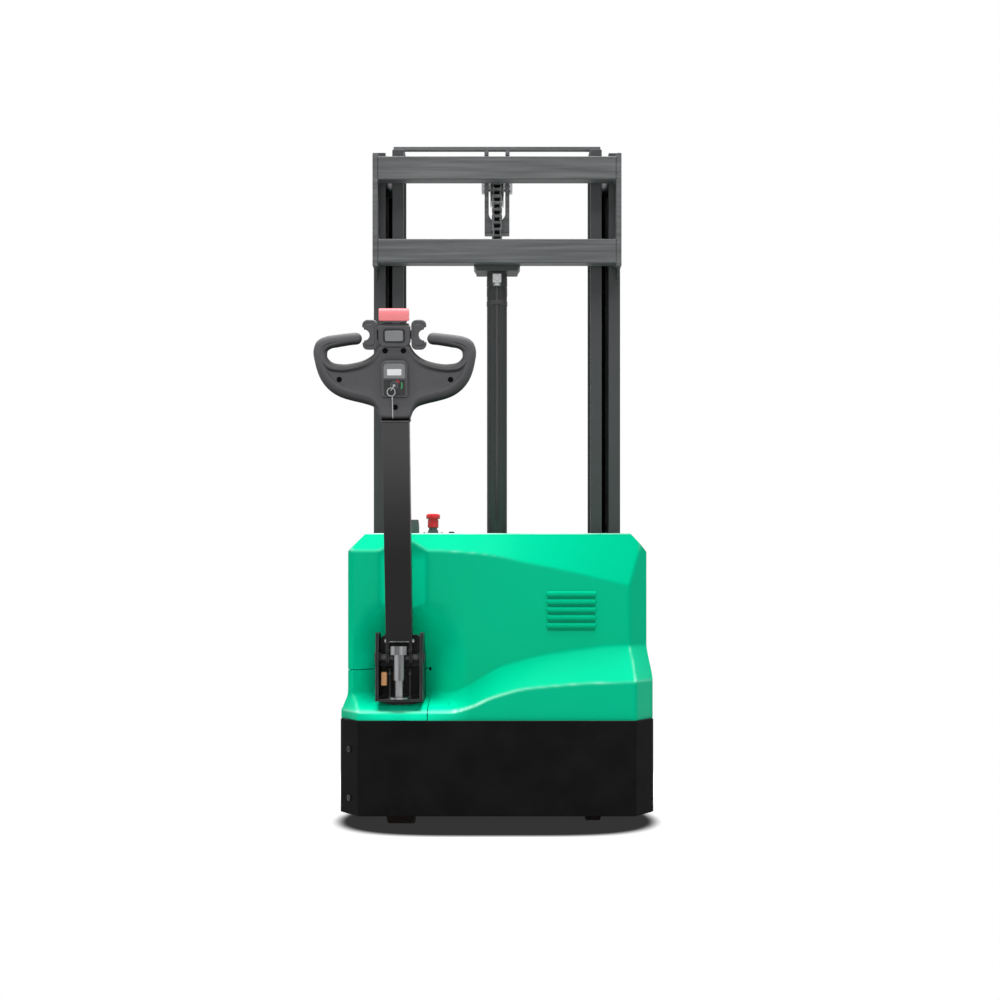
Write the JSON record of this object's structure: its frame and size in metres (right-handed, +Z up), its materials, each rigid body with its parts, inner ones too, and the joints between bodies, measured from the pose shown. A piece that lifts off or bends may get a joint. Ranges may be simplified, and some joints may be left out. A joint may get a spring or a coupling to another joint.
{
  "type": "electric walkie stacker",
  "caption": "Pedestrian electric stacker: offset tiller, covered drive body, two-stage chain-lifted mast, fork carriage and forks over support legs.",
  "frame": {"origin": "on the floor, on the truck's centre plane, midway between the drive wheel's and the load wheels' axles", "axes": "+Z up, +Y from the operator's side towards the fork tips, +X to the operator's right"},
  "size_m": [0.8445, 1.9614, 1.872],
  "materials": {
    "green_cover": "gloss green moulding",
    "black_paint": "satin black paint",
    "mast_paint": "satin dark grey paint",
    "bright_steel": "ground and plated",
    "roller_steel": "turned",
    "chain_steel": "oiled",
    "polyurethane": "cast polyurethane",
    "black_plastic": "fine grained moulding",
    "red_plastic": "gloss moulding",
    "grey_plastic": "moulded",
    "motor_casting": "cast"
  },
  "bodies": {
    "chassis": {"chassis_frame": "mast_paint", "skirt": "black_paint", "main_cover": "green_cover", "service_cover": "green_cover", "battery": "grey_plastic", "oil_tank": "grey_plastic", "pump_motor": "motor_casting", "controller": "motor_casting", "stop_switch_collar": "black_plastic", "charger_socket": "black_plastic", "cover_screws": "bright_steel", "support_leg_right": "mast_paint", "support_leg_left": "mast_paint", "mast_channel_right": "mast_paint", "mast_channel_left": "mast_paint", "mast_side_plates": "mast_paint", "mast_upper_beam": "mast_paint", "mast_lower_beam": "mast_paint", "mast_base_frame": "mast_paint", "lift_barrel": "mast_paint", "barrel_bracket": "mast_paint", "bleed_line": "bright_steel", "chain_fixed_leg": "chain_steel"},
    "inner_mast": {"inner_channel_right": "mast_paint", "inner_channel_left": "mast_paint", "inner_top_beam": "mast_paint", "inner_push_beam": "mast_paint", "inner_bottom_beam": "mast_paint", "lift_rod": "bright_steel", "pulley_bracket": "mast_paint", "pulley_axle": "bright_steel", "chain_wrap": "chain_steel"},
    "carriage": {"carriage_frame": "mast_paint", "fork_right": "mast_paint", "fork_left": "mast_paint", "chain_lifting_leg": "chain_steel"},
    "chain_wheel": {"chain_wheel": "roller_steel"},
    "mast_top_rollers": {"mast_top_rollers": "roller_steel"},
    "inner_bottom_rollers": {"inner_bottom_rollers": "roller_steel"},
    "carriage_upper_rollers": {"carriage_upper_rollers": "roller_steel"},
    "carriage_lower_rollers": {"carriage_lower_rollers": "roller_steel"},
    "drive_unit": {"drive_yoke": "black_paint", "drive_motor": "motor_casting", "tiller_bracket": "black_paint", "tiller_pivot_pin": "bright_steel", "gas_spring_tube": "bright_steel"},
    "drive_wheel": {"drive_wheel": "polyurethane"},
    "gas_spring_sleeve": {"gas_spring_sleeve": "bright_steel"},
    "tiller": {"tiller_arm": "mast_paint", "tiller_head": "black_plastic", "control_panel": "black_plastic"},
    "thumb_switches": {"thumb_switches": "black_plastic"},
    "belly_button": {"belly_button": "red_plastic"},
    "horn_button": {"horn_button": "grey_plastic"},
    "ignition_key": {"ignition_key": "bright_steel"},
    "stop_button": {"stop_button": "red_plastic"},
    "castor": {"castor_fork": "black_paint"},
    "castor_wheel": {"castor_wheel": "polyurethane"},
    "load_wheel_right": {"load_wheel_right": "polyurethane"},
    "load_wheel_left": {"load_wheel_left": "polyurethane"}
  },
  "joints": [
    {"name": "lift", "type": "slide", "parent": "chassis", "child": "inner_mast", "axis": [0, 0, 1], "range_m": [0, 1.25], "deforming": ["chain_fixed_leg"]},
    {"name": "carriage_lift", "type": "slide", "parent": "inner_mast", "child": "carriage", "axis": [0, 0, 1], "range_m": [0, 1.25], "deforming": ["chain_lifting_leg"]},
    {"name": "chain_wheel_spin", "type": "hinge", "parent": "inner_mast", "child": "chain_wheel", "pos_m": [0, -0.166, 1.772], "axis": [1, 0, 0], "range_deg": [0, 1594]},
    {"name": "mast_top_roller_spin", "type": "hinge", "parent": "chassis", "child": "mast_top_rollers", "pos_m": [0, -0.214, 1.78], "axis": [1, 0, 0], "range_deg": [-1421, 0]},
    {"name": "inner_bottom_roller_spin", "type": "hinge", "parent": "inner_mast", "child": "inner_bottom_rollers", "pos_m": [0, -0.214, 0.115], "axis": [1, 0, 0], "range_deg": [0, 1421]},
    {"name": "carriage_upper_roller_spin", "type": "hinge", "parent": "carriage", "child": "carriage_upper_rollers", "pos_m": [0, -0.214, 0.5], "axis": [1, 0, 0], "range_deg": [-1421, 0]},
    {"name": "carriage_lower_roller_spin", "type": "hinge", "parent": "carriage", "child": "carriage_lower_rollers", "pos_m": [0, -0.214, 0.21], "axis": [1, 0, 0], "range_deg": [0, 1421]},
    {"name": "steer", "type": "hinge", "parent": "chassis", "child": "drive_unit", "pos_m": [-0.246, -0.611, 0], "axis": [0, 0, 1], "range_deg": [-45, 45]},
    {"name": "drive_wheel_spin", "type": "hinge", "parent": "drive_unit", "child": "drive_wheel", "pos_m": [-0.246, -0.611, 0.105], "axis": [1, 0, 0], "continuous": true},
    {"name": "tiller_tilt", "type": "hinge", "parent": "drive_unit", "child": "tiller", "pos_m": [-0.246, -0.691, 0.432], "axis": [1, 0, 0], "range_deg": [0, 75], "stiffness_Nm_per_rad": 15, "springref_deg": -68.75},
    {"name": "gas_spring_stroke", "type": "slide", "parent": "drive_unit", "child": "gas_spring_sleeve", "axis": [0, 0, 1], "range_m": [-0.037, 0]},
    {"name": "thumb_switch_turn", "type": "hinge", "parent": "tiller", "child": "thumb_switches", "pos_m": [-0.246, -0.87164, 1.21442], "axis": [1, 0, 0], "range_deg": [-30, 30], "stiffness_Nm_per_rad": 0.6},
    {"name": "belly_button_press", "type": "slide", "parent": "tiller", "child": "belly_button", "axis": [0, 0.225, -0.9744], "range_m": [0, 0.006], "stiffness_N_per_m": 600, "springref_m": -0.004},
    {"name": "horn_button_press", "type": "slide", "parent": "tiller", "child": "horn_button", "axis": [0, 0.9744, 0.225], "range_m": [0, 0.003], "stiffness_N_per_m": 500, "springref_m": -0.002},
    {"name": "key_turn", "type": "hinge", "parent": "tiller", "child": "ignition_key", "pos_m": [-0.246, -0.84509, 1.09944], "axis": [0, 0.9744, 0.225], "range_deg": [0, 90]},
    {"name": "stop_button_press", "type": "slide", "parent": "chassis", "child": "stop_button", "axis": [0, 0, -1], "range_m": [0, 0.006]},
    {"name": "castor_swivel", "type": "hinge", "parent": "chassis", "child": "castor", "pos_m": [0.25, -0.599, 0], "axis": [0, 0, 1], "continuous": true},
    {"name": "castor_wheel_spin", "type": "hinge", "parent": "castor", "child": "castor_wheel", "pos_m": [0.25, -0.564, 0.0625], "axis": [1, 0, 0], "continuous": true},
    {"name": "load_wheel_right_spin", "type": "hinge", "parent": "chassis", "child": "load_wheel_right", "pos_m": [0.2, 0.611, 0.04], "axis": [1, 0, 0], "continuous": true},
    {"name": "load_wheel_left_spin", "type": "hinge", "parent": "chassis", "child": "load_wheel_left", "pos_m": [-0.2, 0.611, 0.04], "axis": [1, 0, 0], "continuous": true}
  ],
  "couplings": [
    {"joint": "carriage_lift", "follows": "lift", "ratio": 1},
    {"joint": "chain_wheel_spin", "follows": "lift", "rad_per_m": 22.222},
    {"joint": "mast_top_roller_spin", "follows": "lift", "rad_per_m": -19.802},
    {"joint": "inner_bottom_roller_spin", "follows": "lift", "rad_per_m": 19.802},
    {"joint": "carriage_upper_roller_spin", "follows": "lift", "rad_per_m": -19.802},
    {"joint": "carriage_lower_roller_spin", "follows": "lift", "rad_per_m": 19.802},
    {"joint": "gas_spring_stroke", "follows": "tiller_tilt", "m_per_rad": -0.0279}
  ]
}
